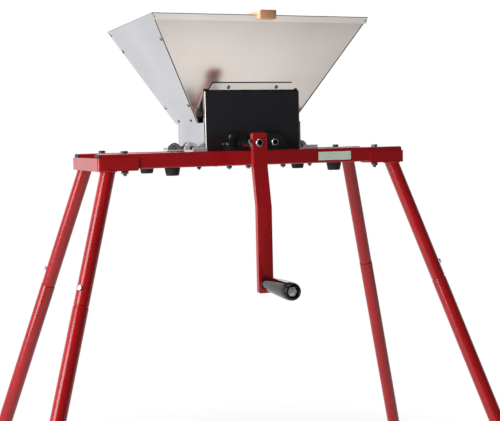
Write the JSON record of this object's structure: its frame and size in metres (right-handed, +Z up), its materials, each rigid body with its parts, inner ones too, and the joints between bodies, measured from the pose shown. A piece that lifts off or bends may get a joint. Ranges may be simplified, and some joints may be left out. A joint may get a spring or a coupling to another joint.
{
  "type": "apple scratter",
  "caption": "Hand cranked apple scratter: sheet steel hopper over geared toothed rollers on a splayed tube-leg stand.",
  "frame": {"origin": "bottom centre of the whole object's bounding box, on the floor that the four feet stand on", "axes": "+X along the two rails to the right as seen from the crank side, +Y from the crank side to the back, +Z up"},
  "size_m": [1.0978, 0.6742, 1.0418],
  "materials": {
    "red_paint": "gloss red powder coat",
    "black_plastic": "smooth black moulded plastic",
    "black_rubber": "matt black rubber",
    "zinc_steel": "bright zinc plate",
    "label_film": "satin off-white film, blank",
    "stainless_sheet": "fine brushed stainless sheet",
    "cover_sheet": "gloss black front on steel sheet",
    "black_casting": "black coated casting",
    "bearing_nylon": "black nylon bushes",
    "bright_steel": "turned bright steel",
    "gear_steel": "machined steel, oiled",
    "cast_aluminium": "cast, lightly blasted",
    "beech_wood": "planed, unvarnished"
  },
  "bodies": {
    "frame": {"front_rail": "red_paint", "back_rail": "red_paint", "rail_end_plugs": "black_plastic", "left_end_bracket": "red_paint", "right_end_bracket": "red_paint", "rail_bolts": "zinc_steel", "rail_nuts": "zinc_steel", "upper_leg_front_left": "red_paint", "upper_leg_front_right": "red_paint", "upper_leg_back_left": "red_paint", "upper_leg_back_right": "red_paint", "lower_leg_front_left": "red_paint", "lower_leg_front_right": "red_paint", "lower_leg_back_left": "red_paint", "lower_leg_back_right": "red_paint", "leg_bolts": "zinc_steel", "leg_nuts": "zinc_steel", "foot_caps": "black_rubber", "rubber_bumpers": "black_rubber", "bumper_screws": "zinc_steel", "blank_label": "label_film", "hopper_front_panel": "stainless_sheet", "hopper_back_panel": "stainless_sheet", "hopper_left_panel": "stainless_sheet", "hopper_right_panel": "stainless_sheet", "hopper_seam_screws": "zinc_steel", "throat_screws": "zinc_steel", "housing_side_left": "stainless_sheet", "housing_side_right": "stainless_sheet", "housing_front_wall": "stainless_sheet", "housing_back_wall": "stainless_sheet", "guide_plates": "stainless_sheet", "foot_brackets": "zinc_steel", "foot_bracket_bolts": "zinc_steel", "gear_cover": "cover_sheet", "cover_screws": "zinc_steel", "front_bearing_left": "black_casting", "front_bearing_right": "black_casting", "rear_bearing_left": "black_casting", "rear_bearing_right": "black_casting", "bearing_inserts": "bearing_nylon", "bearing_bolts": "zinc_steel"},
    "drive_train": {"drive_shaft": "bright_steel", "drive_collars": "black_casting", "drive_gear": "gear_steel", "drive_roller": "cast_aluminium", "crank_arm": "red_paint", "crank_set_screw": "zinc_steel", "grip_bolt": "zinc_steel", "grip_nut": "zinc_steel"},
    "driven_train": {"driven_shaft": "bright_steel", "driven_collar": "black_casting", "driven_gear": "gear_steel", "driven_roller": "cast_aluminium"},
    "grip": {"crank_grip": "black_plastic"},
    "pusher": {"wooden_pusher": "beech_wood"}
  },
  "joints": [
    {"name": "crank_turn", "type": "hinge", "parent": "frame", "child": "drive_train", "pos_m": [-0.038, -0.09028, 0.7854], "axis": [0, 1, 0], "continuous": true},
    {"name": "driven_turn", "type": "hinge", "parent": "frame", "child": "driven_train", "pos_m": [0.038, -0.09028, 0.7854], "axis": [0, 1, 0], "continuous": true},
    {"name": "grip_spin", "type": "hinge", "parent": "drive_train", "child": "grip", "pos_m": [-0.038, -0.27178, 0.5174], "axis": [0, 1, 0], "continuous": true},
    {"name": "pusher_lift", "type": "slide", "parent": "frame", "child": "pusher", "axis": [0, 0, 1], "range_m": [0, 0.15]}
  ],
  "couplings": [
    {"joint": "driven_turn", "follows": "crank_turn", "ratio": -1}
  ]
}
